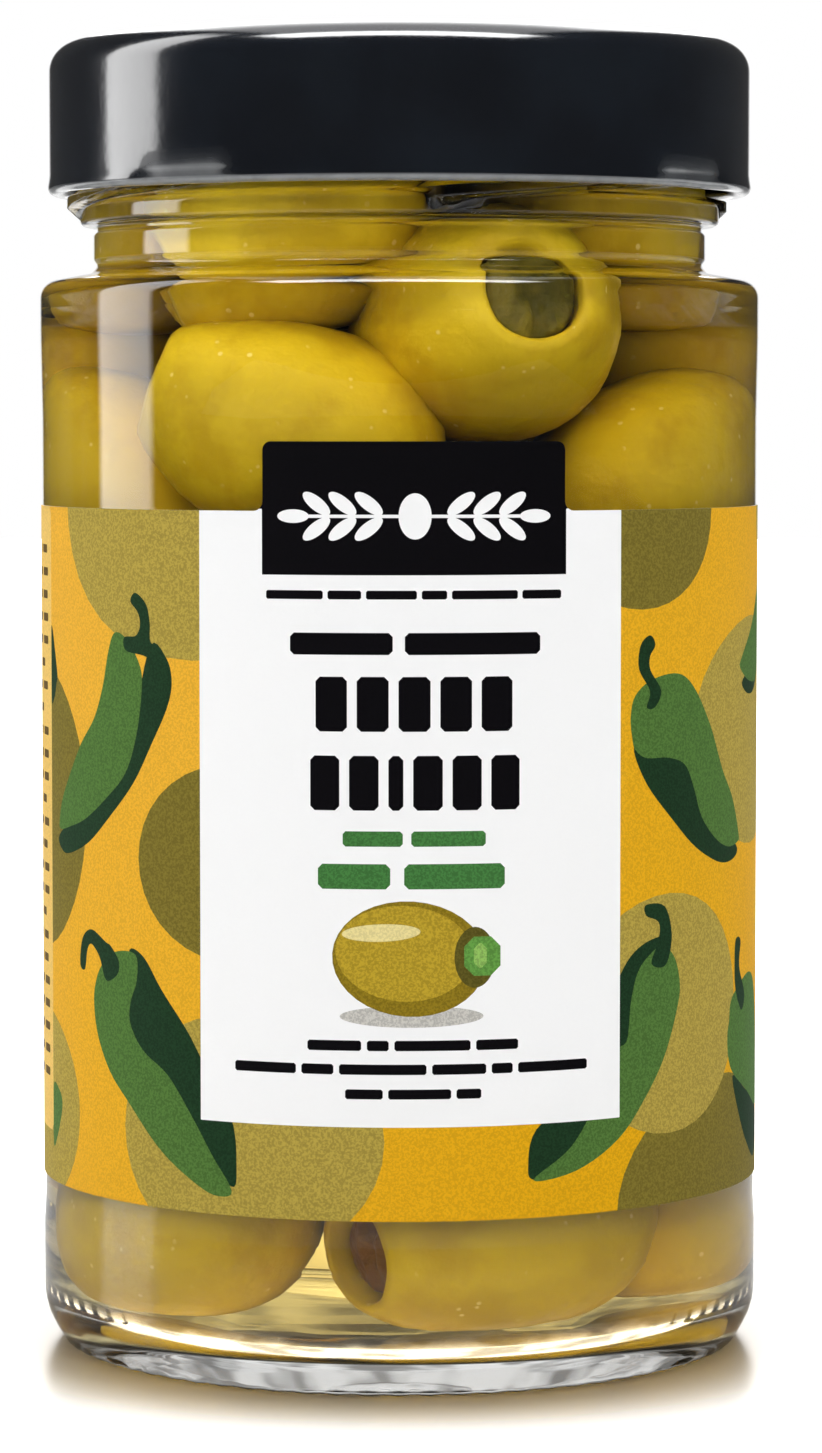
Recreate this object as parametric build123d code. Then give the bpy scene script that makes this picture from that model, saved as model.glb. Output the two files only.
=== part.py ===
from build123d import *
import os
from math import cos, degrees, radians, sin

# A twist-capped glass jar of olives in brine with a paper label.
# Millimetres. The axis is Z, the jar stands on z = 0 and the label's tab faces -Y.
# Angles round the jar are degrees from -Y, positive towards +X.

# Glass body
BODY_R = 35.0           # heel and shoulder bands
WALL = 2.5
SHOULDER_Z = 103.2      # top of the shoulder corner
SHOULDER_CORNER = 1.7
SHOULDER_RISE = 0.95    # from that corner up to the foot of the neck
INNER_SHOULDER_DROP = 2.4
INNER_SHOULDER_R = 2.6
PANEL_RECESS = 0.15     # the label lies in a shallow recess between the two bands
HEEL_BAND = 14.2        # height of the recess's bottom above the ground
SHOULDER_BAND = 11.2    # depth of its top below the shoulder
RECESS_RUN = 2.5        # height over which the recess fades in and out

# Base
HEEL_R = 11.2
HEEL_TOP = 6.5
HEEL_BREAK_Z = 0.9      # where the heel turns under to the bearing ring
BEARING_INSET = 2.6     # the ring's outer edge, in from the body
BEARING_WIDTH = 2.8
PUSH_UP = 2.0           # hollow under the middle of the base
RING_INNER_RISE = 0.7
RING_INNER_RUN = 1.0
TOE_BULGE = 0.22
FLOOR_Z = 3.2           # lowest point of the inside, round the foot of the wall
FLOOR_CROWN = 0.8       # the inside floor rises this much to the middle
INNER_HEEL_R = 6.0

# Neck, its parts in order from the shoulder up
NECK_R = 29.8
NECK_WALL = 2.6
NECK_FOOT_DROP = 0.4    # the neck is this much smaller just above the shoulder
NECK_FOOT_BLEND = 0.6
FOOT_STEP = 0.5
THROAT_RISE = 2.2       # the bore is straight from this height above the shoulder
BAND_RISE = 2.3         # from the shoulder to the stacking band
BAND_H = 2.4
GROOVE_H = 0.9
GROOVE_DEPTH = 0.35
GROOVE_SLOPE = 0.25
BEAD_DEPTH = 1.3
BEAD_H = 2.0
BEAD_EDGE = 0.5
RIM_EDGE = 1.1          # rounding of the rim

# Thread: four short ramps that rise to the right
STARTS = 4
THREAD_DEPTH = 2.6
THREAD_ROOT_H = 2.2
THREAD_CREST_H = 1.1
THREAD_LOW = 0.7        # the crest's underside starts this far below the top of the bead
THREAD_RISE_PER_DEG = 0.05
THREAD_SWEEP = 84.0
THREAD_FIRST = 3.0
ROOT_SINK = 0.4         # the thread's root is buried this far in the neck

# Lid of lacquered tinplate
LID_H = 14.7
LID_GAP = 0.9           # from the bead to the lid's lower edge
LID_CORNER = 2.8
TIN = 0.25
CURL_R = 0.75
CURL_CLEARANCE = 0.3    # between the rolled edge and the thread's crest
SEAT_INSET = 0.8        # the flat ring that sits on the rim reaches in past the bore
PANEL_DROP = 0.8
PANEL_SLOPE_RUN = 0.8
BUTTON_R = 9.5
BUTTON_RISE = 0.45
BUTTON_SLOPE_RUN = 1.0
LUG_FIRST = 54.0
LUG_WIDTH = 15.0        # degrees
LUG_GRIP = 0.7          # how far a lug reaches in under the thread
LUG_DROP = 0.15         # the lugs hang this far below the curl
LUG_CLEARANCE = 0.05    # between a lug and the thread that holds it down

# Paper label
LABEL_T = 0.15
LABEL_FOOT = 2.5        # above the recess's bottom
LABEL_HEAD = 10.25      # below its top
TAB_H = 6.35
TAB_LEFT = -20.8
TAB_RIGHT = 25.8
TAB_CORNER = 0.8
TAB_FOOT = 0.9
LAP_CENTRE = 172.0      # the label's overlap, at the back
LAP_WIDTH = 6.0

# Brine
HEADSPACE = 4.55        # from the rim down to the level

PANEL_R = BODY_R - PANEL_RECESS
PANEL_BOTTOM = HEEL_BAND
PANEL_TOP = SHOULDER_Z - SHOULDER_BAND
INNER_R = BODY_R - WALL
BEARING_OUTER_R = BODY_R - BEARING_INSET
BEARING_INNER_R = BEARING_OUTER_R - BEARING_WIDTH
SHOULDER_FOOT_Z = SHOULDER_Z + SHOULDER_RISE
THROAT_Z = SHOULDER_Z + THROAT_RISE
BAND_BOTTOM = SHOULDER_Z + BAND_RISE
BAND_TOP = BAND_BOTTOM + BAND_H
BEAD_BOTTOM = BAND_TOP + GROOVE_H
BEAD_TOP = BEAD_BOTTOM + BEAD_H
BORE_R = NECK_R - NECK_WALL
NECK_FOOT_R = NECK_R - NECK_FOOT_DROP
GROOVE_R = NECK_R - GROOVE_DEPTH
BEAD_R = NECK_R + BEAD_DEPTH
THREAD_CREST_R = NECK_R + THREAD_DEPTH
THREAD_ROOT_R = NECK_R - ROOT_SINK
THREAD_MIDDLE_Z = BEAD_TOP - THREAD_LOW + THREAD_CREST_H / 2
LID_R = THREAD_CREST_R + CURL_CLEARANCE + 2 * CURL_R
LID_BOTTOM = BEAD_TOP + LID_GAP
LID_TOP = LID_BOTTOM + LID_H
RIM_Z = LID_TOP - TIN   # the lid's flat ring rests on the rim
LUG_INNER_R = THREAD_CREST_R - LUG_GRIP
LABEL_R = PANEL_R + LABEL_T
LABEL_BOTTOM = PANEL_BOTTOM + LABEL_FOOT
LABEL_TOP = PANEL_TOP - LABEL_HEAD
TAB_TOP = LABEL_TOP + TAB_H
BRINE_TOP = RIM_Z - HEADSPACE


def turned(edges):
    """The solid of revolution of a closed chain of edges drawn as x = radius, y = height."""
    face = make_face(edges)
    return revolve(Plane.XZ * face, Axis.Z)


def sector(inner, outer, bottom, top, middle, width):
    """Part of a ring, this many degrees wide."""
    half = radians(width / 2)
    ring = Circle(outer) - Circle(inner)
    reach = outer * 2
    side = (reach * sin(half), -reach * cos(half))
    wedge = make_face(Polyline((0, 0), (-side[0], side[1]), side, close=True))
    return Pos(0, 0, bottom) * Rot(0, 0, middle) * extrude(ring & wedge, top - bottom)


def inner_heel_edges():
    """The inside of the base and its rounded foot, from the axis out to the wall."""
    arc_r = INNER_R - INNER_HEEL_R
    low = (arc_r, FLOOR_Z)
    floor = ThreePointArc((0, FLOOR_Z + FLOOR_CROWN), (arc_r / 2, FLOOR_Z + FLOOR_CROWN * 0.75), low)
    mid = (arc_r + INNER_HEEL_R * sin(radians(45)), FLOOR_Z + INNER_HEEL_R * (1 - cos(radians(45))))
    heel = ThreePointArc(low, mid, (INNER_R, FLOOR_Z + INNER_HEEL_R))
    return [floor, heel]


def inner_wall_edges(top):
    """The inside of the wall, shoulder and bore, from the foot of the wall up to a height."""
    inner_top = SHOULDER_Z - INNER_SHOULDER_DROP
    start = (INNER_R, FLOOR_Z + INNER_HEEL_R)
    bend = (INNER_R, inner_top - INNER_SHOULDER_R)
    turn = radians(45)
    mid = (
        INNER_R - INNER_SHOULDER_R * (1 - cos(turn)),
        inner_top - INNER_SHOULDER_R * (1 - sin(turn)),
    )
    flat = (INNER_R - INNER_SHOULDER_R, inner_top)
    throat = (BORE_R, THROAT_Z)
    return [
        Line(start, bend),
        ThreePointArc(bend, mid, flat),
        Line(flat, throat),
        Line(throat, (BORE_R, top)),
    ]


def outer_edges():
    """The outside of the glass, from under the middle of the base up to the rim."""
    heel_centre_r = BODY_R - HEEL_R
    break_drop = HEEL_TOP - HEEL_BREAK_Z
    break_r = heel_centre_r + (HEEL_R**2 - break_drop**2) ** 0.5
    heel_mid_drop = break_drop * 0.55
    heel_mid = (heel_centre_r + (HEEL_R**2 - heel_mid_drop**2) ** 0.5, HEEL_TOP - heel_mid_drop)
    ring_in = (BEARING_INNER_R, 0)
    ring_out = (BEARING_OUTER_R, 0)
    under = (BEARING_INNER_R - RING_INNER_RUN, RING_INNER_RISE)
    dome_mid = (under[0] / 2, RING_INNER_RISE + (PUSH_UP - RING_INNER_RISE) * 0.75)
    toe_mid = ((BEARING_OUTER_R + break_r) / 2 + TOE_BULGE, HEEL_BREAK_Z * 0.3)
    corner_r = BODY_R - SHOULDER_CORNER
    corner_z = SHOULDER_Z - SHOULDER_CORNER
    turn = radians(45)
    corner_mid = (corner_r + SHOULDER_CORNER * cos(turn), corner_z + SHOULDER_CORNER * sin(turn))
    corner_end = (corner_r, SHOULDER_Z)
    neck_foot = (NECK_FOOT_R + NECK_FOOT_BLEND, SHOULDER_FOOT_Z)
    rim_mid = (NECK_R - RIM_EDGE * (1 - cos(turn)), RIM_Z - RIM_EDGE * (1 - sin(turn)))
    points = [
        (BODY_R, PANEL_BOTTOM - RECESS_RUN),
        (PANEL_R, PANEL_BOTTOM),
        (PANEL_R, PANEL_TOP),
        (BODY_R, PANEL_TOP + RECESS_RUN),
        (BODY_R, corner_z),
    ]
    neck = [
        neck_foot,
        (NECK_FOOT_R, BAND_BOTTOM - FOOT_STEP),
        (NECK_R, BAND_BOTTOM),
        (NECK_R, BAND_TOP),
        (GROOVE_R, BAND_TOP + GROOVE_SLOPE),
        (GROOVE_R, BEAD_BOTTOM - GROOVE_SLOPE),
        (BEAD_R - BEAD_EDGE / 2, BEAD_BOTTOM),
        (BEAD_R, BEAD_BOTTOM + BEAD_EDGE),
        (BEAD_R, BEAD_TOP - BEAD_EDGE),
        (BEAD_R - BEAD_EDGE, BEAD_TOP),
        (NECK_R, BEAD_TOP + BEAD_EDGE),
        (NECK_R, RIM_Z - RIM_EDGE),
    ]
    return [
        ThreePointArc((0, PUSH_UP), dome_mid, under),
        Line(under, ring_in),
        Line(ring_in, ring_out),
        ThreePointArc(ring_out, toe_mid, (break_r, HEEL_BREAK_Z)),
        ThreePointArc((break_r, HEEL_BREAK_Z), heel_mid, (BODY_R, HEEL_TOP)),
        Line((BODY_R, HEEL_TOP), points[0]),
        Polyline(*points),
        ThreePointArc(points[-1], corner_mid, corner_end),
        Line(corner_end, neck_foot),
        Polyline(*neck),
        ThreePointArc(neck[-1], rim_mid, (NECK_R - RIM_EDGE, RIM_Z)),
    ]


def thread(first):
    """One ramp of the thread, its crest narrower than its root."""
    half_root = THREAD_ROOT_H / 2
    half_crest = THREAD_CREST_H / 2
    lead = THREAD_RISE_PER_DEG * 360
    rise = THREAD_RISE_PER_DEG * THREAD_SWEEP
    path = Helix(pitch=lead, height=rise, radius=THREAD_ROOT_R)
    section = make_face(
        Polyline(
            (THREAD_ROOT_R, -half_root),
            (THREAD_CREST_R, -half_crest),
            (THREAD_CREST_R, half_crest),
            (THREAD_ROOT_R, half_root),
            close=True,
        )
    )
    ramp = sweep(Plane.XZ * section, path=path, is_frenet=True)
    return Pos(0, 0, THREAD_MIDDLE_Z) * Rot(0, 0, first - 90) * ramp


def make_jar():
    """The glass: body, neck and thread in one."""
    edges = outer_edges() + [Line((NECK_R - RIM_EDGE, RIM_Z), (BORE_R, RIM_Z))]
    edges += inner_wall_edges(RIM_Z) + inner_heel_edges() + [Line((0, FLOOR_Z + FLOOR_CROWN), (0, PUSH_UP))]
    glass = turned(edges)
    for start in range(STARTS):
        glass += thread(THREAD_FIRST + start * 360 / STARTS)
    return glass


def make_brine():
    """The liquid, which fills the inside up to its level."""
    edges = inner_heel_edges() + inner_wall_edges(BRINE_TOP)
    edges += [
        Line((BORE_R, BRINE_TOP), (0, BRINE_TOP)),
        Line((0, BRINE_TOP), (0, FLOOR_Z + FLOOR_CROWN)),
    ]
    return turned(edges)


def lid_profile(inset):
    """The lid's section from the top of the curl in to the axis, moved inwards by a thickness."""
    skirt_r = LID_R - inset
    top = LID_TOP - inset
    corner = LID_CORNER - inset
    centre = (LID_R - LID_CORNER, LID_TOP - LID_CORNER)
    turn = radians(45)
    mid = (centre[0] + corner * cos(turn), centre[1] + corner * sin(turn))
    panel = top - PANEL_DROP
    button = panel + BUTTON_RISE
    seat_inner_r = BORE_R - SEAT_INSET
    flats = [
        (centre[0], top),
        (seat_inner_r, top),
        (seat_inner_r - PANEL_SLOPE_RUN, panel),
        (BUTTON_R, panel),
        (BUTTON_R - BUTTON_SLOPE_RUN, button),
        (0, button),
    ]
    foot = (skirt_r, LID_BOTTOM + CURL_R)
    return [
        Line(foot, (skirt_r, centre[1])),
        ThreePointArc((skirt_r, centre[1]), mid, flats[0]),
        Polyline(*flats),
    ]


def lug_top():
    """Height of a lug that just clears the underside of the thread above it."""
    along = LUG_FIRST - LUG_WIDTH / 2 - THREAD_FIRST
    middle_z = THREAD_MIDDLE_Z + THREAD_RISE_PER_DEG * along
    out = (LUG_INNER_R - THREAD_ROOT_R) / (THREAD_CREST_R - THREAD_ROOT_R)
    half_h = THREAD_ROOT_H / 2 + (THREAD_CREST_H - THREAD_ROOT_H) / 2 * out
    return middle_z - half_h - LUG_CLEARANCE


def make_lid():
    """The twist cap: shell, rolled curl and four lugs."""
    outside = lid_profile(0)
    inside = lid_profile(TIN)
    foot_z = LID_BOTTOM + CURL_R
    axis_top = LID_TOP - PANEL_DROP + BUTTON_RISE
    closing = [
        Line((LID_R, foot_z), (LID_R - TIN, foot_z)),
        Line((0, axis_top), (0, axis_top - TIN)),
    ]
    shell = turned(outside + inside + closing)
    curl = Pos(0, 0, foot_z) * Torus(LID_R - CURL_R, CURL_R)
    lid = shell + curl
    lug_bottom = LID_BOTTOM - LUG_DROP
    for lug in range(STARTS):
        middle = LUG_FIRST + lug * 360 / STARTS
        lid += sector(LUG_INNER_R, LID_R - CURL_R, lug_bottom, lug_top(), middle, LUG_WIDTH)
    return lid


def near_height(outline, z, reach):
    """The corners of a flat outline within reach of a height."""
    return [v for v in outline.vertices() if abs(v.Y - z) < reach]


def make_label():
    """The paper wrapped round the body, with a raised tab in front and a lap behind."""
    paper = Circle(LABEL_R) - Circle(PANEL_R)
    wrap = Pos(0, 0, LABEL_BOTTOM) * extrude(paper, LABEL_TOP - LABEL_BOTTOM)
    left = LABEL_R * sin(radians(TAB_LEFT))
    right = LABEL_R * sin(radians(TAB_RIGHT))
    middle = (left + right) / 2
    tab_h = TAB_TOP - LABEL_TOP
    foot = Pos(middle, LABEL_TOP - tab_h / 2) * Rectangle(right - left + 4 * TAB_FOOT, tab_h)
    tab = Pos(middle, LABEL_TOP) * Rectangle(right - left, 2 * tab_h)
    outline = foot + tab
    crotches = [v for v in near_height(outline, LABEL_TOP, TAB_FOOT) if left - 0.1 < v.X < right + 0.1]
    outline = fillet(crotches, TAB_FOOT)
    outline = fillet(near_height(outline, TAB_TOP, TAB_CORNER / 2), TAB_CORNER)
    tall = Pos(0, 0, LABEL_BOTTOM) * extrude(paper, TAB_TOP - LABEL_BOTTOM)
    front = tall & extrude(Plane.XZ * outline, BODY_R + 1)
    lap_degrees = degrees(LAP_WIDTH / LABEL_R)
    lap = sector(LABEL_R, LABEL_R + LABEL_T, LABEL_BOTTOM, LABEL_TOP, LAP_CENTRE, lap_degrees)
    return wrap + front + lap


os.makedirs("parts", exist_ok=True)
export_step(make_jar(), "parts/jar.step")
export_step(make_brine(), "parts/brine.step")
export_step(make_label(), "parts/label.step")
export_step(make_lid(), "parts/lid.step")
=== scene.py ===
import bpy
import numpy as np
from math import ceil, cos, pi, radians, sin, tan
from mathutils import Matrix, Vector, noise
from mathutils.geometry import delaunay_2d_cdt


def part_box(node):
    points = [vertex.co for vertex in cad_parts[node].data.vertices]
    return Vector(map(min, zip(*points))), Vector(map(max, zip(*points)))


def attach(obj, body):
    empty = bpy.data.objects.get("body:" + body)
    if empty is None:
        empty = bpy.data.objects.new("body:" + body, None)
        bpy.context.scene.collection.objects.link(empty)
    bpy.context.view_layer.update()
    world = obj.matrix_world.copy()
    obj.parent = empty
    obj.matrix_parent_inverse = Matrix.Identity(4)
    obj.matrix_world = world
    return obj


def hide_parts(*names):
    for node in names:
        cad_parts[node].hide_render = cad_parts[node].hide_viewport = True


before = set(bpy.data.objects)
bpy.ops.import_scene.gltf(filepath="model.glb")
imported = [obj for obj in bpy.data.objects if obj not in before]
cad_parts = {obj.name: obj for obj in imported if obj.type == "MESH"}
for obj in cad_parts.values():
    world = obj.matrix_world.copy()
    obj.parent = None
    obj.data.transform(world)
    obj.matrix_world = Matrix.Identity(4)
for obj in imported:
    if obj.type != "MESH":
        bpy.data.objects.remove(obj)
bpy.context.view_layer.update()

# --- The glass jar --------------------------------------------------------------
# A pressed glass jar: a round body with a shallow label recess, a heavy shoulder, a stacking
# band and a bead on the neck, four short thread ramps, and a knurled ring that it stands on.
MM = 0.001
BODY_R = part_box("jar")[1][0] / MM
RIM_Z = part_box("jar")[1][2] / MM
PANEL_R = BODY_R - 0.15
INNER_R = BODY_R - 2.5
SHOULDER_Z = RIM_Z - 22.95
PANEL_TOP = SHOULDER_Z - 11.2
NECK_R = 29.8
BORE_R = 27.2
BEAD_Z = SHOULDER_Z + 6.6
INNER_SHOULDER_Z = SHOULDER_Z - 2.4
FLOOR_Z = 3.2                   # the inside floor, where it meets the wall
GLASS_AROUND = 360              # faces round the glass, five to each knurl
KNURLS = 72
KNURL_DEPTH = 0.16
BEARING = (28.9, 29.9, 32.2, 33.6)  # radii where the knurled ring starts, is full, and ends
FLOW_MARKS = 0.08               # how uneven the underside is
WALL_WAVES = 0.16               # how uneven the inside of the wall is
THREADS = 4
THREAD_FIRST = 3.0
THREAD_SWEEP = 84.0
THREAD_RUNS_OUT = 4.0           # degrees in which each end of a thread dies away
THREAD_RISE = 0.05              # mm up for each degree round
THREAD_LOW = SHOULDER_Z + 7.45
THREAD_STANDS = 2.6
GLASS_IOR = 1.5


def rounded(corners, step=radians(12)):
    """A line through (radius, height, rounding) corners, its corners turned as arcs."""
    line = []
    last = len(corners) - 1
    for i, (r, z, fillet) in enumerate(corners):
        here = Vector((r, z))
        if i in (0, last) or fillet == 0:
            line.append(here)
            continue
        back = Vector(corners[i - 1][:2]) - here
        on = Vector(corners[i + 1][:2]) - here
        bend = pi - back.angle(on)
        reach = min(fillet * tan(bend / 2), 0.48 * back.length, 0.48 * on.length)
        radius = reach / tan(bend / 2)
        start = here + back.normalized() * reach
        middle = here + (back.normalized() + on.normalized()).normalized() * radius / cos(bend / 2)
        arm = start - middle
        turn = -1 if back.cross(on) > 0 else 1
        parts = max(2, int(bend / step) + 1)
        for k in range(parts + 1):
            angle = turn * bend * k / parts
            line.append(middle + Vector((
                arm.x * cos(angle) - arm.y * sin(angle),
                arm.x * sin(angle) + arm.y * cos(angle),
            )))
    return line


def spaced(line, gap):
    """The same line with more points, no two of them further apart than gap(radius, height)."""
    out = [line[0]]
    for a, b in zip(line, line[1:]):
        middle = (a + b) / 2
        parts = max(1, ceil((b - a).length / gap(middle.x, middle.y)))
        out += [a.lerp(b, k / parts) for k in range(1, parts + 1)]
    return out


def node(tree, kind, inputs=None, **settings):
    """A new node with its settings, and each input set to a value or linked to a socket."""
    made = tree.nodes.new(kind)
    for key, value in settings.items():
        setattr(made, key, value)
    for key, value in (inputs or {}).items():
        if isinstance(value, bpy.types.NodeSocket):
            tree.links.new(value, made.inputs[key])
        else:
            made.inputs[key].default_value = value
    return made


def maths(tree, operation, *values):
    """The output of one Math node."""
    return node(tree, "ShaderNodeMath", dict(enumerate(values)), operation=operation).outputs[0]


def times(tree, first, *others):
    """Values multiplied together."""
    for other in others:
        first = maths(tree, "MULTIPLY", first, other)
    return first


def plus(tree, first, *others):
    """Values added together."""
    for other in others:
        first = maths(tree, "ADD", first, other)
    return first


def worked(tree, kind, geometry, inputs=None, **settings):
    """What one more node makes of some geometry."""
    return node(tree, kind, {"Geometry": geometry, **(inputs or {})}, **settings).outputs[0]


def new_tree(name, inputs, result):
    """An empty Geometry Nodes tree with named inputs, its input node and its output socket."""
    tree = bpy.data.node_groups.new(name, "GeometryNodeTree")
    for label, kind in inputs:
        tree.interface.new_socket(label, in_out="INPUT", socket_type="NodeSocket" + kind)
    tree.interface.new_socket(result, in_out="OUTPUT", socket_type="NodeSocketGeometry")
    start = tree.nodes.new("NodeGroupInput")
    end = tree.nodes.new("NodeGroupOutput")
    return tree, start.outputs, end.inputs[result]


def made_by(tree, name, mesh, values):
    """Runs a tree on a mesh and keeps the result as a plain mesh object."""
    piece = bpy.data.objects.new(name, mesh)
    bpy.context.scene.collection.objects.link(piece)
    modifier = piece.modifiers.new("Make", "NODES")
    modifier.node_group = tree
    for item in tree.interface.items_tree:
        if item.in_out == "INPUT" and item.name in values:
            modifier[item.identifier] = values[item.name]
    bpy.context.view_layer.update()
    evaluated = piece.evaluated_get(bpy.context.evaluated_depsgraph_get())
    result = bpy.data.meshes.new_from_object(evaluated)
    piece.modifiers.clear()
    piece.data = result
    result.name = name
    return piece


turning, given, turned_out = new_tree("turned_in_a_mould", [
    ("Line", "Geometry"), ("Around", "Int"), ("Lining From", "Int"),
    ("Finish", "Material"), ("Lining", "Material"),
], "Turned")
rows = worked(turning, "GeometryNodeAttributeDomainSize", given["Line"])
index = node(turning, "GeometryNodeInputIndex").outputs[0]
row = maths(turning, "MODULO", index, rows)
turn = maths(turning, "FLOOR", maths(turning, "DIVIDE", index, rows))
turn = maths(turning, "DIVIDE", times(turning, turn, 2 * pi), given["Around"])
place = node(turning, "GeometryNodeSampleIndex", {
    "Geometry": given["Line"],
    "Value": node(turning, "GeometryNodeInputPosition").outputs[0],
    "Index": row,
}, data_type="FLOAT_VECTOR", domain="POINT")
place = node(turning, "ShaderNodeSeparateXYZ", {0: place.outputs["Value"]}).outputs
spun = node(turning, "ShaderNodeCombineXYZ", {
    "X": times(turning, place["X"], maths(turning, "SINE", turn)),
    "Y": times(turning, place["X"], maths(turning, "COSINE", turn), -1.0),
    "Z": place["Z"],
})
blank = node(turning, "GeometryNodeMeshGrid", {
    "Vertices X": plus(turning, given["Around"], 1.0), "Vertices Y": rows,
}).outputs["Mesh"]
shaped = worked(turning, "GeometryNodeStoreNamedAttribute", blank, {"Name": "row", "Value": row},
                data_type="FLOAT", domain="POINT")
shaped = worked(turning, "GeometryNodeSetPosition", shaped, {"Position": spun.outputs[0]})
shaped = worked(turning, "GeometryNodeMergeByDistance", shaped, {"Distance": 2e-6})
shaped = worked(turning, "GeometryNodeSetShadeSmooth", shaped)
lined = maths(turning, "GREATER_THAN", node(
    turning, "GeometryNodeInputNamedAttribute", {"Name": "row"}, data_type="FLOAT",
).outputs["Attribute"], given["Lining From"])
shaped = worked(turning, "GeometryNodeRealizeInstances", shaped)
shaped = worked(turning, "GeometryNodeSetMaterial", shaped, {"Material": given["Finish"]})
shaped = worked(turning, "GeometryNodeSetMaterial", shaped, {"Selection": lined, "Material": given["Lining"]})
turning.links.new(shaped, turned_out)


def turned(name, line, around, finish, lining=None, lining_from=1000000):
    """A closed round piece from its line of (radius, height) points in mm."""
    mesh = bpy.data.meshes.new(name)
    links = [(i, i + 1) for i in range(len(line) - 1)]
    mesh.from_pydata([(r * MM, 0, z * MM) for r, z in line], links, [])
    return made_by(turning, name, mesh, {
        "Around": around, "Lining From": lining_from, "Finish": finish, "Lining": lining or finish,
    })


def corners_of(piece):
    """A piece's points as an array, in mm, with their angles round the jar in degrees."""
    points = np.empty(len(piece.data.vertices) * 3, dtype=np.float32)
    piece.data.vertices.foreach_get("co", points)
    points = points.reshape(-1, 3).astype(float) / MM
    return points, np.degrees(np.arctan2(points[:, 0], -points[:, 1]))


def put_back(piece, points):
    """Writes moved points, in mm, back to a piece."""
    piece.data.vertices.foreach_set("co", (points * MM).astype(np.float32).ravel())
    piece.data.update()


def eased(value, low, high):
    """0 below low, 1 above high and smooth between, for numbers or arrays."""
    part = np.clip((np.asarray(value, dtype=float) - low) / (high - low), 0, 1)
    return part * part * (3 - 2 * part)


def finish_of(name, **sockets):
    """A new material, its node tree and its Principled shader, with the shader's sockets set."""
    material = bpy.data.materials.new(name)
    material.use_nodes = True
    shader = material.node_tree.nodes["Principled BSDF"]
    for key, value in sockets.items():
        shader.inputs[key.replace("_", " ")].default_value = value
    return material, material.node_tree, shader


jar_glass = finish_of(
    "jar_glass", Base_Color=(0.985, 0.995, 0.985, 1), Roughness=0.0, IOR=GLASS_IOR,
    Transmission_Weight=1.0,
)[0]
glass_lining = finish_of(
    "jar_glass_lining", Base_Color=(1, 1, 1, 1), Roughness=0.0, IOR=GLASS_IOR,
    Transmission_Weight=1.0, Specular_Tint=(0.08, 0.08, 0.08, 1),
)[0]

outside = rounded([
    (0, 2.0, 0), (24.0, 1.6, 20), (28.6, 0.7, 1.5), (29.6, 0, 0.4), (32.98, 0, 1.0),
    (BODY_R, 3.5, 11.2), (BODY_R, 11.7, 4), (PANEL_R, 14.2, 4), (PANEL_R, PANEL_TOP - 2.0, 60),
    (BODY_R, PANEL_TOP + 6.0, 60), (BODY_R, SHOULDER_Z, 1.7), (30.0, SHOULDER_Z + 0.95, 0.8),
    (29.4, SHOULDER_Z + 1.7, 0.4), (NECK_R, SHOULDER_Z + 2.3, 0.3), (NECK_R, SHOULDER_Z + 4.7, 0.6),
    (NECK_R - 0.35, SHOULDER_Z + 4.95, 0.2), (NECK_R - 0.35, SHOULDER_Z + 5.45, 0.3),
    (NECK_R + 1.3, SHOULDER_Z + 5.6, 0.5), (NECK_R + 1.3, SHOULDER_Z + 7.6, 0.8),
    (NECK_R, SHOULDER_Z + 8.1, 0.4), (NECK_R, RIM_Z, 1.1),
])
inside = rounded([
    (BORE_R, RIM_Z, 0), (BORE_R, SHOULDER_Z + 2.2, 2.0), (30.6, INNER_SHOULDER_Z - 0.1, 2.5),
    (INNER_R, INNER_SHOULDER_Z - 2.4, 3.0), (INNER_R, FLOOR_Z, 6.0), (20.0, FLOOR_Z + 0.2, 20),
    (0, FLOOR_Z + 0.8, 0),
])


def glass_gap(r, z):
    """How far apart the glass's rows of points may be: finest at the thread, then at the base."""
    if z > BEAD_Z and r > BORE_R + 1:
        return 0.45
    return 1.0 if z < 5 and r > 26 else 3.0


outside = spaced(outside, glass_gap)
jar = turned(
    "jar_glass", outside + spaced(inside, glass_gap), GLASS_AROUND, jar_glass, glass_lining,
    lining_from=len(outside),
)
points, angles = corners_of(jar)
radius = np.hypot(points[:, 0], points[:, 1])
outer_neck = (radius > NECK_R - 0.2) & (radius < NECK_R + 1.4) & (points[:, 2] > SHOULDER_Z + 7.0)
for start in range(THREADS):
    along = (angles - THREAD_FIRST - start * 360 / THREADS) % 360
    fade = eased(along, 0, THREAD_RUNS_OUT)
    fade *= 1 - eased(along, THREAD_SWEEP - THREAD_RUNS_OUT, THREAD_SWEEP)
    crest = THREAD_LOW + THREAD_RISE * along
    ridge = 1 - eased(abs(points[:, 2] - crest), 0.5, 1.15)
    reach = np.maximum(NECK_R + THREAD_STANDS * ridge * fade, radius)
    points[:, :2] *= np.where(outer_neck, reach / np.maximum(radius, 1), 1)[:, None]
ring = eased(radius, *BEARING[:2]) * (1 - eased(radius, *BEARING[2:])) * (points[:, 2] < 1.0)
points[:, 2] += KNURL_DEPTH * ring * (0.5 - 0.5 * np.cos(np.radians(angles) * KNURLS))
flow = np.array([noise.noise((p[0] * 0.13, p[1] * 0.13, 0.0)) for p in points])
underneath = points[:, 2] < FLOOR_Z - 0.6
points[:, 2] += FLOW_MARKS * flow * underneath * eased(radius, 8, 22) * (1 - eased(radius, 27.5, 29.3))
wave = np.array([noise.noise((p[0] * 0.045, p[1] * 0.045, p[2] * 0.03)) for p in points])
wave *= (radius < INNER_R + 0.4) * (points[:, 2] > 12) * (points[:, 2] < INNER_SHOULDER_Z - 4)
points[:, :2] *= (1 + WALL_WAVES * wave / np.maximum(radius, 1))[:, None]
put_back(jar, points)
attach(jar, "root")
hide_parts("jar")

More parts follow.
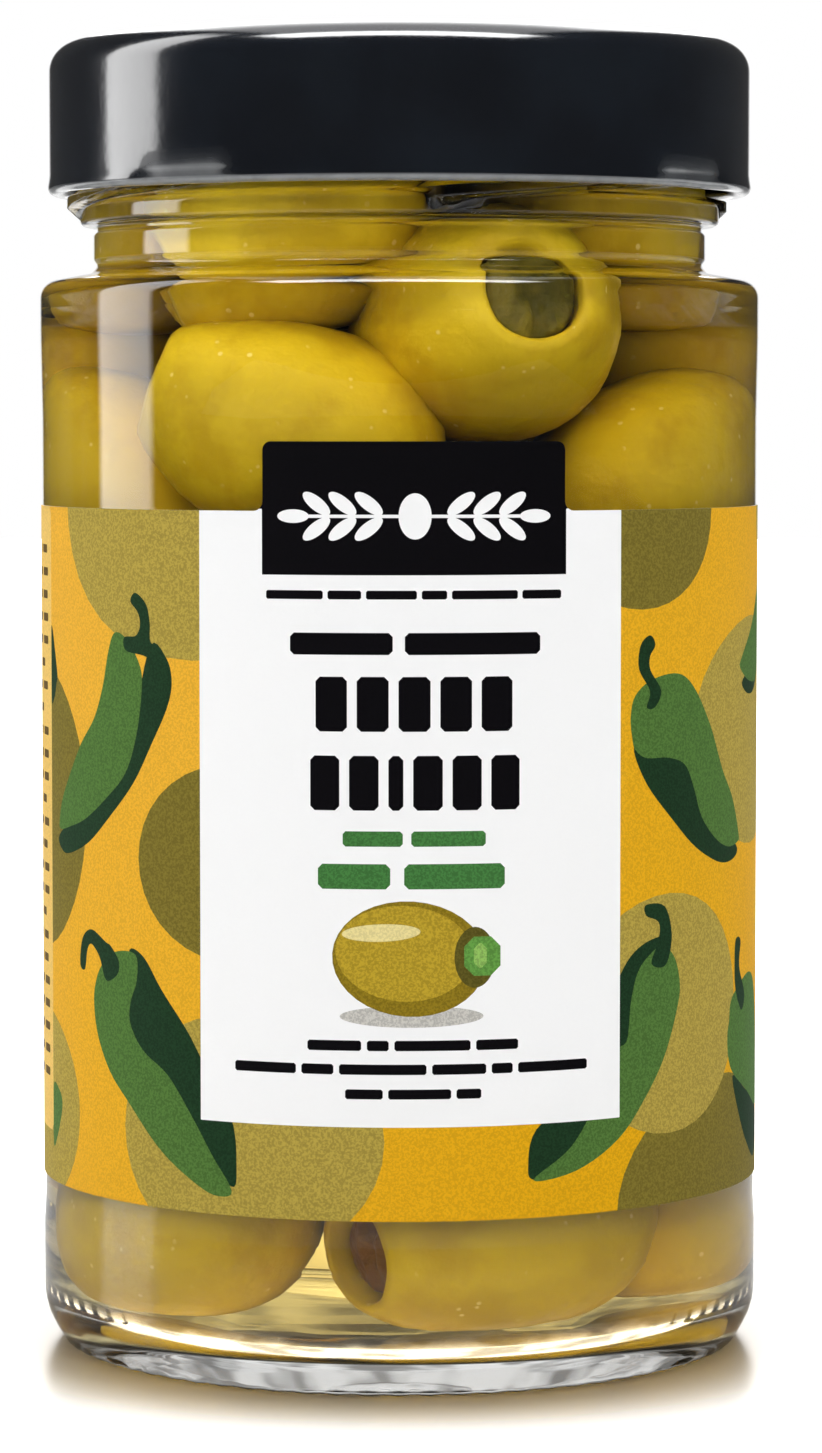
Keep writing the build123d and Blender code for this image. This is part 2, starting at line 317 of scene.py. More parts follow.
# --- The brine ------------------------------------------------------------------
# Clear yellow brine, poured in up to just under the rim. It wets the glass, so its skin lies
# a little inside the wall and no air shows between the two.
BRINE_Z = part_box("brine")[1][2] / MM
INTO_GLASS = 0.15
BRINE_AROUND = 240
BRINE_YELLOW = (0.96, 0.78, 0.05, 1)
BRINE_DENSITY = 27.0

brine_finish, tree, _ = finish_of(
    "brine", Base_Color=(1, 1, 1, 1), Roughness=0.0, IOR=1.34, Transmission_Weight=1.0,
    Specular_Tint=(0.08, 0.08, 0.08, 1),
)
absorbing = node(tree, "ShaderNodeVolumeAbsorption", {"Color": BRINE_YELLOW, "Density": BRINE_DENSITY})
tree.links.new(absorbing.outputs[0], tree.nodes["Material Output"].inputs["Volume"])

wetted = []
for i, here in enumerate(inside):
    along = inside[min(i + 1, len(inside) - 1)] - inside[max(i - 1, 0)]
    wetted.append(here + Vector((-along.y, along.x)).normalized() * INTO_GLASS)
wetted[-1].x = 0
wetted = [p for p in reversed(wetted) if p.y < BRINE_Z - 0.5]
wetted += [Vector((BORE_R + INTO_GLASS, BRINE_Z)), Vector((0, BRINE_Z))]
brine = turned("brine_fill", spaced(wetted, lambda r, z: 4.0), BRINE_AROUND, brine_finish)
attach(brine, "root")
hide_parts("brine")

# --- The olives -----------------------------------------------------------------
# Green olives, each pitted through one end and stuffed there with a strip of green pepper.
# They are packed by hand, so they lie at all angles against the glass and each other.
OLIVE_LONG = 26.5
OLIVE_WIDE = 20.5
OLIVE_COUNT = 39
OLIVE_TOP = SHOULDER_Z + 16     # no olive stands higher
HOLE_R = 4.5
HOLE_DEEP = 7.0
MIDDLE_BALL = 0.98              # each olive settles as three balls, sized as parts of its width
END_BALL = 0.70
SETTLING = 500                  # rounds of pushing the balls apart
PUSH = 0.42                     # how much of an overlap one round takes away
SINK = 0.02                     # how far an olive sinks in one round
KEPT_OUT = 0.35                 # how far a round moves an olive out of a space that stays clear
CLEAR_TO = 26.0                 # between the two lowest olives at the front there is only brine
SQUEEZE = 0.8                   # how far from the glass an olive starts to be pressed flat


def sunlit(red, green, blue):
    """A colour given as it looks, 0 to 255, in the numbers that a shader takes."""
    return tuple(
        c / 12.92 if c <= 0.04045 else ((c + 0.055) / 1.055) ** 2.4
        for c in (red / 255, green / 255, blue / 255)
    ) + (1.0,)


def mixed(tree, factor, a, b, how="MIX"):
    """The colour output of one Mix node."""
    made = node(tree, "ShaderNodeMix", data_type="RGBA", blend_type=how)
    for key, value in ((0, factor), (6, a), (7, b)):
        if isinstance(value, bpy.types.NodeSocket):
            tree.links.new(value, made.inputs[key])
        else:
            made.inputs[key].default_value = value
    return made.outputs[2]


def ramped(tree, value, low, high, first=0.0, second=1.0):
    """A value taken from low..high to first..second, smooth at both ends."""
    return node(tree, "ShaderNodeMapRange", {
        "Value": value, "From Min": low, "From Max": high, "To Min": first, "To Max": second,
    }, interpolation_type="SMOOTHSTEP").outputs["Result"]


def raised(tree, shader, height, strength, distance):
    """Gives a shader a fine relief."""
    bumps = node(tree, "ShaderNodeBump", {"Strength": strength, "Distance": distance, "Height": height})
    tree.links.new(bumps.outputs[0], shader.inputs["Normal"])


# Cloudy patches or fine grain, on the skins, the pepper, the paper and the lacquer.
mottling = bpy.data.node_groups.new("mottled", "ShaderNodeTree")
for label, kind, usual in (
    ("Where", "Vector", (0, 0, 0)), ("Scale", "Float", 100.0), ("Detail", "Float", 3.0),
    ("Coarseness", "Float", 0.5), ("Low", "Float", 0.35), ("High", "Float", 0.65),
):
    mottling.interface.new_socket(
        label, in_out="INPUT", socket_type="NodeSocket" + kind).default_value = usual
for label in ("Patches", "Height"):
    mottling.interface.new_socket(label, in_out="OUTPUT", socket_type="NodeSocketFloat")
given = mottling.nodes.new("NodeGroupInput").outputs
results = mottling.nodes.new("NodeGroupOutput").inputs
grain = node(mottling, "ShaderNodeTexNoise", {
    "Vector": given["Where"], "Scale": given["Scale"], "Detail": given["Detail"],
    "Roughness": given["Coarseness"],
}).outputs["Fac"]
mottling.links.new(ramped(mottling, grain, given["Low"], given["High"]), results["Patches"])
mottling.links.new(grain, results["Height"])


def mottled(tree, where, scale, low=0.35, high=0.65, detail=3.0, coarseness=0.5):
    """The outputs of one mottled group, placed in a material with its own values."""
    return node(tree, "ShaderNodeGroup", {
        "Where": where, "Scale": scale, "Detail": detail, "Coarseness": coarseness,
        "Low": low, "High": high,
    }, node_tree=mottling).outputs


# Each placed olive: middle (mm), the way its stuffed end points, length and width as parts of
# the usual ones. The others fill the rest of the jar.
PLACED = [
    ((-9.6, -18.0, 89.6), (-0.90, 0.20, 0.38), 1.04, 1.02),
    ((7.6, -16.6, 98.9), (0.36, -0.88, 0.26), 1.04, 1.06),
    ((20.6, -4.6, 84.4), (0.35, 0.85, 0.30), 1.04, 1.02),
    ((14.5, 12.0, 99.0), (0.30, 0.90, 0.20), 1.00, 0.98),
    ((-15.5, 15.5, 96.0), (0.70, 0.70, 0.30), 1.00, 1.00),
    ((-18.4, -11.8, 14.2), (-0.52, 0.78, -0.34), 1.10, 1.08),
    ((7.6, -17.8, 13.7), (-0.86, -0.49, -0.12), 1.14, 1.04),
    ((-3.5, -9.0, 33.0), (-0.10, -0.80, -0.20), 1.00, 0.98),
    ((22.0, 2.0, 15.5), (0.30, 0.60, 0.70), 1.00, 1.00),
]


def inner_radius(z):
    """The inside radius of the jar at a height, in mm."""
    return BORE_R + (INNER_R - BORE_R) * (1 - eased(z, INNER_SHOULDER_Z - 1, SHOULDER_Z + 2))


random = np.random.default_rng(7)
spread = OLIVE_COUNT - len(PLACED)
spin = random.uniform(0, 2 * pi, spread)
out = np.sqrt(random.uniform(0, 1, spread)) * 20
middles = np.array([p[0] for p in PLACED] + list(zip(
    out * np.cos(spin), out * np.sin(spin), np.linspace(18, OLIVE_TOP - 12, spread),
)))
axes = np.array([p[1] for p in PLACED] + list(random.normal(size=(spread, 3))))
axes /= np.linalg.norm(axes, axis=1)[:, None]
longs = np.array([p[2] for p in PLACED] + list(random.uniform(0.93, 1.05, spread))) * OLIVE_LONG
wides = np.array([p[3] for p in PLACED] + list(random.uniform(0.94, 1.04, spread))) * OLIVE_WIDE
free = np.arange(OLIVE_COUNT) >= len(PLACED)
end_r = END_BALL * wides / 2
ball_r = np.concatenate([MIDDLE_BALL * wides / 2, end_r, end_r])
owner = np.tile(np.arange(OLIVE_COUNT), 3)
strangers = owner[:, None] != owner[None, :]
for _ in range(SETTLING):
    reach = (longs / 2 - end_r)[:, None] * axes
    balls = np.concatenate([middles, middles + reach, middles - reach])
    apart = balls[:, None] - balls[None, :]
    far = np.linalg.norm(apart, axis=2) + 1e-6
    deep = np.where(strangers, np.maximum(ball_r[:, None] + ball_r[None, :] - far, 0), 0)
    push = (apart / far[..., None] * deep[..., None]).sum(1) * PUSH
    from_axis = np.hypot(balls[:, 0], balls[:, 1])
    over = np.maximum(from_axis + ball_r - inner_radius(balls[:, 2]) + 0.1, 0)
    push[:, :2] -= balls[:, :2] / np.maximum(from_axis, 1e-6)[:, None] * over[:, None]
    push[:, 2] += np.maximum(FLOOR_Z + 0.4 + ball_r - balls[:, 2], 0)
    push[:, 2] -= np.maximum(balls[:, 2] + ball_r - OLIVE_TOP, 0)
    clear = (abs(balls[:, 0] + 6) < 3 + ball_r) & (balls[:, 2] < CLEAR_TO)
    push[:, 2] += clear * KEPT_OUT
    nook = (abs(balls[:, 0] - 8) < 13) & (balls[:, 1] < 3 + ball_r) & (abs(balls[:, 2] - 84) < 14)
    push[:, 1] += nook * KEPT_OUT
    push[:, 2] -= SINK
    push = push.reshape(3, OLIVE_COUNT, 3)
    middles[free] += push.mean(0)[free] * 1.2
    swing = (push[1] - push[2]) / longs[:, None]
    axes[free] += swing[free]
    axes /= np.linalg.norm(axes, axis=1)[:, None]

olive_skin, tree, shader = finish_of("olive_skin", Roughness=0.42, Specular_IOR_Level=0.12)
where = node(tree, "ShaderNodeTexCoord").outputs["Object"]
tone = node(tree, "ShaderNodeAttribute", attribute_name="tone").outputs["Fac"]
cloudy = mottled(tree, where, 110.0, 0.42, 0.66, 4.0, 0.6)["Patches"]
colour = mixed(tree, ramped(tree, tone, 0.0, 1.0), sunlit(194, 162, 18), sunlit(206, 175, 30))
colour = mixed(tree, times(tree, cloudy, 0.55), colour, sunlit(166, 131, 8))
freckle = node(tree, "ShaderNodeTexVoronoi", {"Vector": where, "Scale": 620.0}).outputs["Distance"]
thinned = mottled(tree, where, 300.0, 0.50, 0.60)["Patches"]
pale = times(tree, ramped(tree, freckle, 0.09, 0.20, 1.0, 0.0), thinned)
colour = mixed(tree, times(tree, pale, 0.5), colour, sunlit(240, 220, 140))
# Skins are painted darker towards the middle of the jar, a painted shade for the dark between the olives, and
# painted lighter high up under the lid, a painted light.
flat_out = node(tree, "ShaderNodeVectorMath", {0: where, 1: (1, 1, 0)}, operation="MULTIPLY")
from_axis = node(tree, "ShaderNodeVectorMath", {0: flat_out.outputs["Vector"]}, operation="LENGTH")
height = node(tree, "ShaderNodeSeparateXYZ", {0: where}).outputs["Z"]
painted_shade_and_light = times(tree, ramped(tree, from_axis.outputs["Value"], 0.012, 0.0245, 0.02, 1.0),
                ramped(tree, height, 0.099, 0.108, 1.0, 1.35))
colour = mixed(tree, 1.0, colour, painted_shade_and_light, "MULTIPLY")
tree.links.new(colour, shader.inputs["Base Color"])
raised(tree, shader, mottled(tree, where, 420.0)["Height"], 0.35, 0.0006)

pepper_strip, tree, shader = finish_of("pepper_strip", Roughness=0.45, Specular_IOR_Level=0.15)
where = node(tree, "ShaderNodeTexCoord").outputs["Object"]
colour = mixed(tree, mottled(tree, where, 260.0, detail=4.0)["Patches"],
               sunlit(80, 72, 16), sunlit(116, 102, 28))
height = node(tree, "ShaderNodeSeparateXYZ", {0: where}).outputs["Z"]
colour = mixed(tree, ramped(tree, height, 0.020, 0.050, 0.8, 0.0), colour, sunlit(112, 66, 10))
tree.links.new(colour, shader.inputs["Base Color"])
raised(tree, shader, mottled(tree, where, 700.0)["Height"], 0.5, 0.0008)

# One olive and one stuffing, turned about their own length with the stuffed end up.
OLIVE_ROWS = 22
BLUNT = 0.92                    # under 1, which makes both ends a little blunter
FATTER_LOW = 0.05               # the end without the hole is the fatter one
whole = []
for k in range(OLIVE_ROWS + 1):
    t = pi * k / OLIVE_ROWS
    lean = 1 + FATTER_LOW * cos(t)
    whole.append(Vector((OLIVE_WIDE / 2 * sin(t) ** BLUNT * lean, -OLIVE_LONG / 2 * cos(t))))
mouth = next(i for i in range(OLIVE_ROWS, 0, -1) if whole[i].x > HOLE_R + 0.9)
lip_z = whole[mouth].y
olive_line = whole[:mouth + 1] + [
    Vector((HOLE_R + 0.35, lip_z + 0.28)), Vector((HOLE_R, lip_z - 0.05)),
    Vector((HOLE_R - 0.1, lip_z - 2.0)), Vector((HOLE_R - 0.6, lip_z - HOLE_DEEP)),
    Vector((0, lip_z - HOLE_DEEP)),
]
one_olive = turned("one_olive", olive_line, 36, olive_skin)
stuffing_line = rounded([
    (0, lip_z - HOLE_DEEP + 0.2, 0), (2.6, lip_z - HOLE_DEEP + 0.6, 0.8),
    (HOLE_R - 0.3, lip_z - 3.4, 2.0), (HOLE_R - 0.5, lip_z - 1.3, 0.9),
    (1.6, lip_z - 0.7, 1.0), (0, lip_z - 1.0, 0),
])
one_stuffing = turned("one_stuffing", stuffing_line, 24, pepper_strip)
FOLD_DEEP = 1.1                 # the strip is folded in two, which leaves a groove at its end
FOLD_AT = 0.4
points, angles = corners_of(one_stuffing)
groove = eased(points[:, 2], lip_z - 4.0, lip_z - 1.5)
groove *= 1 - eased(abs(points[:, 0] - FOLD_AT), 0.0, 0.9)
points[:, 2] -= FOLD_DEEP * groove
put_back(one_stuffing, points)

packing, given, packed_out = new_tree("packed_in_the_jar", [
    ("Places", "Geometry"), ("Shape", "Object"), ("Unevenness", "Float"), ("Bump Size", "Float"),
    ("Seed", "Int"), ("Finish", "Material"),
], "Packed")


def stored(name):
    """A named vector of the places."""
    return node(packing, "GeometryNodeInputNamedAttribute", {"Name": name},
                data_type="FLOAT_VECTOR").outputs["Attribute"]


shape = node(packing, "GeometryNodeObjectInfo", {"Object": given["Shape"]}, transform_space="ORIGINAL")
laid = node(packing, "GeometryNodeInstanceOnPoints", {
    "Points": node(packing, "GeometryNodeMeshToPoints", {"Mesh": given["Places"]}).outputs[0],
    "Instance": shape.outputs["Geometry"], "Rotation": stored("turn"), "Scale": stored("size"),
}).outputs[0]
tone = node(packing, "FunctionNodeRandomValue", {"Seed": given["Seed"]}, data_type="FLOAT").outputs[1]
laid = worked(packing, "GeometryNodeStoreNamedAttribute", laid, {"Name": "tone", "Value": tone},
              data_type="FLOAT", domain="INSTANCE")
laid = worked(packing, "GeometryNodeRealizeInstances", laid)
uneven = node(packing, "ShaderNodeTexNoise", {
    "Vector": node(packing, "GeometryNodeInputPosition").outputs[0], "Scale": given["Bump Size"],
    "Detail": 2.0,
}).outputs["Fac"]
uneven = times(packing, maths(packing, "SUBTRACT", uneven, 0.5), given["Unevenness"])
outwards = node(packing, "ShaderNodeVectorMath", {
    0: node(packing, "GeometryNodeInputNormal").outputs[0], "Scale": uneven,
}, operation="SCALE").outputs[0]
laid = worked(packing, "GeometryNodeSetPosition", laid, {"Offset": outwards})
laid = worked(packing, "GeometryNodeSetShadeSmooth", laid)
laid = worked(packing, "GeometryNodeSetMaterial", laid, {"Material": given["Finish"]})
packing.links.new(laid, packed_out)


def held_off(value, limit):
    """Values that near a limit softly and never pass it."""
    over = value - limit + SQUEEZE
    return np.where(over > 0, limit - SQUEEZE * np.exp(-np.maximum(over, 0) / SQUEEZE), value)


def pressed_flat(piece):
    """Flattens a piece where it lies on the inside of the wall or on the floor."""
    points, angles = corners_of(piece)
    points[:, 2] = -held_off(-points[:, 2], -FLOOR_Z - 0.9)
    wall = [p for p in reversed(inside) if p.x > 20.5]
    wall_r = np.interp(points[:, 2], [p.y for p in wall], [p.x for p in wall])
    radius = np.hypot(points[:, 0], points[:, 1])
    points[:, :2] *= (held_off(radius, wall_r - 0.1) / np.maximum(radius, 0.01))[:, None]
    put_back(piece, points)


def packed(name, shape, finish, unevenness, bump_size):
    """Every olive, or every stuffing, of the jar in one piece."""
    mesh = bpy.data.meshes.new(name)
    mesh.from_pydata([tuple(m * MM) for m in middles], [], [])
    turns = mesh.attributes.new("turn", "FLOAT_VECTOR", "POINT")
    sizes = mesh.attributes.new("size", "FLOAT_VECTOR", "POINT")
    for i in range(OLIVE_COUNT):
        turns.data[i].vector = Vector(axes[i]).to_track_quat("Z", "Y").to_euler()
        sizes.data[i].vector = (wides[i] / OLIVE_WIDE, wides[i] / OLIVE_WIDE, longs[i] / OLIVE_LONG)
    piece = made_by(packing, name, mesh, {
        "Shape": shape, "Unevenness": unevenness * MM, "Bump Size": bump_size, "Seed": 3,
        "Finish": finish,
    })
    pressed_flat(piece)
    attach(piece, "root")


packed("olives", one_olive, olive_skin, 1.6, 90.0)
packed("stuffings", one_stuffing, pepper_strip, 0.9, 260.0)
for master in (one_olive, one_stuffing):
    bpy.data.objects.remove(master)

# --- The label ------------------------------------------------------------------
# One strip of matt paper, printed in flat inks, wrapped round the recess and lapped at the
# back. A black tab stands up from its top edge. The paper is white behind.
LABEL_IN_R = PANEL_R + 0.01
LABEL_OUT_R = BODY_R
PAPER_LIFT = 0.15               # how far the lap stands over the strip below it
LABEL_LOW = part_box("label")[0][2] / MM
TAB_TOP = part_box("label")[1][2] / MM
LABEL_TOP = TAB_TOP - 6.35
PER_DEGREE = radians(1) * PANEL_R   # mm along the paper for each degree round
LAP = 172.0 * PER_DEGREE
LAP_WIDE = 6.0
TAB_LEFT, TAB_RIGHT = -20.8 * PER_DEGREE, 25.8 * PER_DEGREE

GROUND = (233, 175, 52)
# the orange ground in painted shade
GROUND_SHADED = (222, 165, 12)
WHITE = (253, 253, 253)
BLACK = (4, 3, 6)
OLIVE_LIGHT = (172, 151, 66)
OLIVE_DARK = (122, 109, 41)
PEPPER = (78, 114, 52)
PEPPER_DARK = (26, 54, 31)
GREEN = (66, 120, 60)


def smooth_outline(points, steps=5):
    """A closed outline that runs smoothly through a few points."""
    out = []
    n = len(points)
    for i in range(n):
        p0, p1, p2, p3 = (Vector(points[(i + k) % n]) for k in (-1, 0, 1, 2))
        for s in range(steps):
            t = s / steps
            out.append(0.5 * (
                2 * p1 + (p2 - p0) * t + (2 * p0 - 5 * p1 + 4 * p2 - p3) * t * t
                + (3 * p1 - p0 - 3 * p2 + p3) * t ** 3
            ))
    return [(p.x, p.y) for p in out]


def oval(u, z, wide, high, lean=0.0, sides=36):
    """An oval outline: its middle, half sizes, and lean in degrees."""
    c, s = cos(radians(lean)), sin(radians(lean))
    return [
        (u + wide * cos(a) * c - high * sin(a) * s, z + wide * cos(a) * s + high * sin(a) * c)
        for a in (2 * pi * k / sides for k in range(sides))
    ]


def bar(u0, z0, u1, z1, corner=0.3):
    """A rectangle with its corners cut."""
    corner = min(corner, (u1 - u0) / 2.01, (z1 - z0) / 2.01)
    return [
        (u0 + corner, z0), (u1 - corner, z0), (u1, z0 + corner), (u1, z1 - corner),
        (u1 - corner, z1), (u0 + corner, z1), (u0, z1 - corner), (u0, z0 + corner),
    ]


print_shapes = []               # (ink, outline), each over the ones before it


def inked(ink, outline):
    """Adds one shape to the print."""
    print_shapes.append((ink, outline))


def words(ink, u0, z0, u1, z1, lengths, gap=0.55, corner=0.18):
    """A row of plain blocks, where a line of print would be."""
    high = z1 - z0
    room = (u1 - u0) - gap * high * (len(lengths) - 1)
    at = u0
    for length in lengths:
        wide = room * length / sum(lengths)
        inked(ink, bar(at, z0, at + wide, z1, corner * high))
        at += wide + gap * high


def pepper(body, shade, stem):
    """A pepper in a light and a dark ink, with its stem."""
    for ink, outline in ((PEPPER_DARK, shade), (PEPPER, body), (PEPPER_DARK, stem)):
        if outline:
            inked(ink, smooth_outline(outline))


# Olives and peppers strewn over the ground of the front, then the same again round the back.
for ink, u, z, wide, high in (
    (OLIVE_DARK, 24.5, 81.5, 10.2, 9.0), (OLIVE_DARK, 36.5, 16.0, 15.0, 12.0),
    (OLIVE_DARK, -46.0, 53.0, 11.0, 13.5), (OLIVE_DARK, -15.0, 49.3, 11.7, 9.3),
    (OLIVE_LIGHT, -20.0, 82.5, 18.9, 14.6), (OLIVE_LIGHT, -47.0, 24.0, 10.4, 9.5),
    (OLIVE_LIGHT, -15.0, 24.0, 13.7, 11.4), (OLIVE_LIGHT, 45.7, 60.3, 14.2, 11.0),
    (OLIVE_LIGHT, 28.2, 34.6, 12.0, 11.3), (OLIVE_LIGHT, 62.0, 82.0, 13.0, 10.0),
    (OLIVE_DARK, 66.0, 36.0, 11.0, 12.0), (OLIVE_LIGHT, 84.0, 60.0, 13.0, 10.5),
    (OLIVE_LIGHT, 92.0, 22.0, 12.0, 11.0), (OLIVE_DARK, 100.0, 82.0, 11.0, 9.0),
    (OLIVE_LIGHT, -84.0, 74.0, 12.0, 10.0), (OLIVE_DARK, -96.0, 46.0, 12.5, 10.5),
    (OLIVE_LIGHT, -84.0, 24.0, 12.0, 10.0), (OLIVE_LIGHT, -106.0, 76.0, 9.0, 11.0),
):
    inked(ink, oval(u, z, wide, high))
pepper(
    [(-30.0, 70.2), (-31.0, 68.5), (-32.0, 65.0), (-33.5, 62.0), (-36.0, 59.5), (-38.5, 56.5), (-40.5, 54.0),
     (-41.4, 52.0), (-41.2, 51.0), (-38.7, 51.4), (-35.2, 52.4), (-31.6, 54.5), (-28.6, 57.0), (-27.0, 60.5),
     (-26.2, 64.8), (-26.4, 67.2), (-28.2, 69.6)],
    [(-25.0, 69.2), (-23.0, 68.0), (-22.4, 65.8), (-23.0, 63.4), (-24.8, 60.2), (-27.4, 56.2), (-31.0, 52.8),
     (-34.6, 50.2), (-38.5, 48.9), (-40.6, 49.0), (-41.5, 50.4), (-36.0, 53.0), (-29.0, 57.0), (-27.0, 63.0)],
    [(-25.0, 69.5), (-25.1, 71.3), (-25.6, 73.0), (-27.0, 74.0), (-27.7, 73.2), (-26.7, 72.2), (-26.4, 71.0),
     (-27.0, 70.0), (-28.6, 69.8), (-28.4, 68.6), (-26.0, 68.2), (-24.0, 67.6), (-23.6, 68.8)],
)
pepper(
    [(-30.2, 40.2), (-32.3, 38.8), (-33.4, 37.0), (-33.7, 35.0), (-33.0, 32.0), (-31.0, 28.8), (-28.0, 26.0),
     (-23.8, 22.0), (-19.5, 19.2), (-17.3, 18.4), (-15.9, 19.0), (-18.0, 22.2), (-20.2, 25.6), (-23.0, 29.2),
     (-26.2, 31.3), (-27.9, 33.6), (-27.9, 35.6), (-27.0, 37.8), (-27.2, 40.2)],
    [(-28.0, 40.6), (-26.0, 40.0), (-23.8, 37.2), (-20.9, 33.8), (-19.2, 31.2), (-16.0, 26.0), (-15.4, 21.6),
     (-16.0, 19.4), (-20.0, 24.0), (-25.0, 30.0), (-28.4, 33.6), (-28.0, 37.6)],
    [(-31.6, 41.0), (-34.1, 42.0), (-35.9, 41.0), (-36.4, 38.5), (-35.4, 38.1), (-34.9, 40.0), (-34.1, 40.6),
     (-32.7, 39.5), (-31.6, 37.4), (-29.8, 38.1), (-29.6, 39.4), (-30.8, 40.7)],
)
pepper(
    [(25.8, 66.0), (23.6, 64.6), (23.0, 62.6), (23.2, 60.6), (23.6, 59.5), (25.0, 58.7), (27.9, 58.6),
     (30.4, 57.8), (31.8, 55.6), (33.2, 52.7), (35.8, 50.5), (38.6, 49.5), (41.2, 49.8), (41.4, 50.6),
     (39.7, 54.0), (37.2, 57.0), (34.7, 61.3), (31.8, 65.0), (29.3, 66.4)],
    [(23.4, 59.8), (25.0, 56.3), (28.6, 52.7), (32.2, 49.9), (36.5, 48.2), (39.7, 48.2), (41.0, 49.2),
     (38.0, 51.0), (34.0, 54.0), (31.0, 58.0), (26.0, 59.6)],
    [(25.4, 64.9), (24.0, 67.0), (24.2, 69.2), (25.4, 70.1), (26.1, 69.2), (25.4, 68.1), (25.5, 66.8),
     (26.9, 64.9), (26.1, 63.4), (25.0, 63.4)],
)
pepper(
    [(25.7, 41.3), (28.6, 40.2), (29.7, 37.4), (29.3, 34.9), (27.5, 30.6), (25.0, 27.0), (21.7, 23.4),
     (17.0, 20.8), (12.6, 20.2), (16.4, 23.0), (19.0, 27.0), (20.6, 32.0), (22.4, 37.4)],
    [(12.9, 24.9), (12.1, 21.6), (12.8, 20.2), (17.0, 20.9), (20.4, 23.4), (22.4, 27.0), (22.0, 32.0),
     (20.0, 33.0), (17.0, 28.0)],
    [(25.0, 45.0), (27.5, 44.7), (28.5, 42.0), (27.9, 39.5), (26.8, 39.0), (25.7, 39.5), (26.3, 40.9),
     (26.8, 42.4), (26.5, 43.4), (25.0, 44.0)],
)
pepper(
    [(41.8, 66.3), (42.2, 67.4), (46.5, 70.6), (49.3, 73.1), (54.0, 76.0), (56.0, 74.0), (54.0, 69.0),
     (49.3, 65.2), (45.0, 65.0)],
    [(42.5, 65.2), (43.6, 64.0), (46.5, 63.8), (49.3, 65.2), (54.0, 69.4), (48.0, 67.0)], None,
)
pepper(
    [(39.0, 32.7), (39.7, 34.9), (43.6, 36.6), (46.5, 36.6), (48.6, 34.9), (51.0, 30.0), (52.0, 24.0),
     (49.3, 23.4), (45.0, 25.2), (40.4, 27.4), (38.9, 29.1), (38.6, 31.3)],
    [(40.0, 27.4), (41.4, 24.1), (44.3, 20.6), (48.6, 18.4), (52.0, 21.0), (49.0, 24.0), (44.0, 25.6)],
    [(40.7, 40.4), (42.2, 40.2), (41.8, 37.7), (43.6, 34.9), (42.5, 33.4), (40.7, 35.6), (40.4, 38.1)],
)
inked(PEPPER_DARK, smooth_outline([
    (27.6, 41.8), (25.0, 41.5), (22.6, 39.8), (20.6, 36.0), (20.8, 32.6), (22.6, 32.4), (23.2, 36.4),
    (24.4, 39.4),
]))
for shift in (108.0, -66.0):
    pepper(
        [(-30.0 + shift, 70.2), (-32.0 + shift, 65.0), (-36.0 + shift, 59.5), (-40.5 + shift, 54.0),
         (-41.2 + shift, 51.0), (-35.2 + shift, 52.4), (-28.6 + shift, 57.0), (-26.2 + shift, 64.8)],
        [(-23.0 + shift, 68.0), (-23.0 + shift, 63.4), (-27.4 + shift, 56.2), (-34.6 + shift, 50.2),
         (-40.6 + shift, 49.0), (-36.0 + shift, 53.0), (-29.0 + shift, 57.0)],
        [(-25.0 + shift, 69.5), (-25.6 + shift, 73.0), (-27.7 + shift, 73.2), (-26.4 + shift, 71.0),
         (-28.4 + shift, 68.6), (-24.0 + shift, 67.6)],
    )
inked(PEPPER_DARK, smooth_outline([
    (-44.0, 70.4), (-42.0, 66.0), (-42.3, 64.8), (-43.0, 63.4), (-44.1, 63.4),
]))
inked(PEPPER, smooth_outline([(-44.0, 26.0), (-41.6, 25.6), (-41.0, 24.2), (-42.3, 21.6), (-44.0, 20.2)]))

# The side panels, with plain rows where their small print would be.
SIDE_PANEL = (236, 196, 104)
SMALL_PRINT = (96, 74, 30)
SIDE_LOW = 21.5
ROW_GAP = 2.2
for left, right, panel_top in ((-78.0, -44.1, 81.7), (66.0, 92.0, 60.0)):
    inked(SIDE_PANEL, bar(left, SIDE_LOW, right, panel_top, 0.6))
    z = panel_top - 4.0
    while z > SIDE_LOW + 3.5:
        ragged = 5 * max(0, noise.noise((z * 0.7, left, 0.0)))
        words(SMALL_PRINT, left + 1.6, z - 0.45, right - 1.4 - ragged, z + 0.35, (5, 3, 6, 4, 2, 5, 3), 1.2)
        z -= ROW_GAP

# The white front panel, with the black of the tab let into its top and a sprig on the tab.
FRONT_LEFT, FRONT_RIGHT, FRONT_LOW, FRONT_TOP = -19.2, 21.8, 25.4, LABEL_TOP + 0.2
TAB_INK_LEFT, TAB_INK_RIGHT, TAB_INK_LOW = -12.7, 15.8, 75.95
inked(WHITE, bar(FRONT_LEFT, FRONT_LOW, FRONT_RIGHT, FRONT_TOP, 0.05))
inked(BLACK, bar(TAB_LEFT - 1, TAB_INK_LOW, TAB_RIGHT + 1, TAB_TOP + 1, 0.05))
inked(WHITE, bar(FRONT_LEFT, FRONT_LOW, TAB_INK_LEFT, FRONT_TOP, 0.05))
inked(WHITE, bar(TAB_INK_RIGHT, FRONT_LOW, FRONT_RIGHT, FRONT_TOP, 0.05))
SPRIG_U, SPRIG_Z = 1.5, 81.3
inked(WHITE, bar(SPRIG_U - 11.1, SPRIG_Z - 0.15, SPRIG_U + 11.1, SPRIG_Z + 0.15, 0.1))
for side in (-1, 1):
    for reach in (4.2, 6.6, 9.0):
        for up in (-1, 1):
            inked(WHITE, oval(SPRIG_U + side * reach, SPRIG_Z + up * 1.15, 1.55, 0.62, side * up * 38))
    inked(WHITE, oval(SPRIG_U + side * 11.2, SPRIG_Z, 1.5, 0.62))
inked(WHITE, oval(SPRIG_U, SPRIG_Z, 1.5, 2.1))

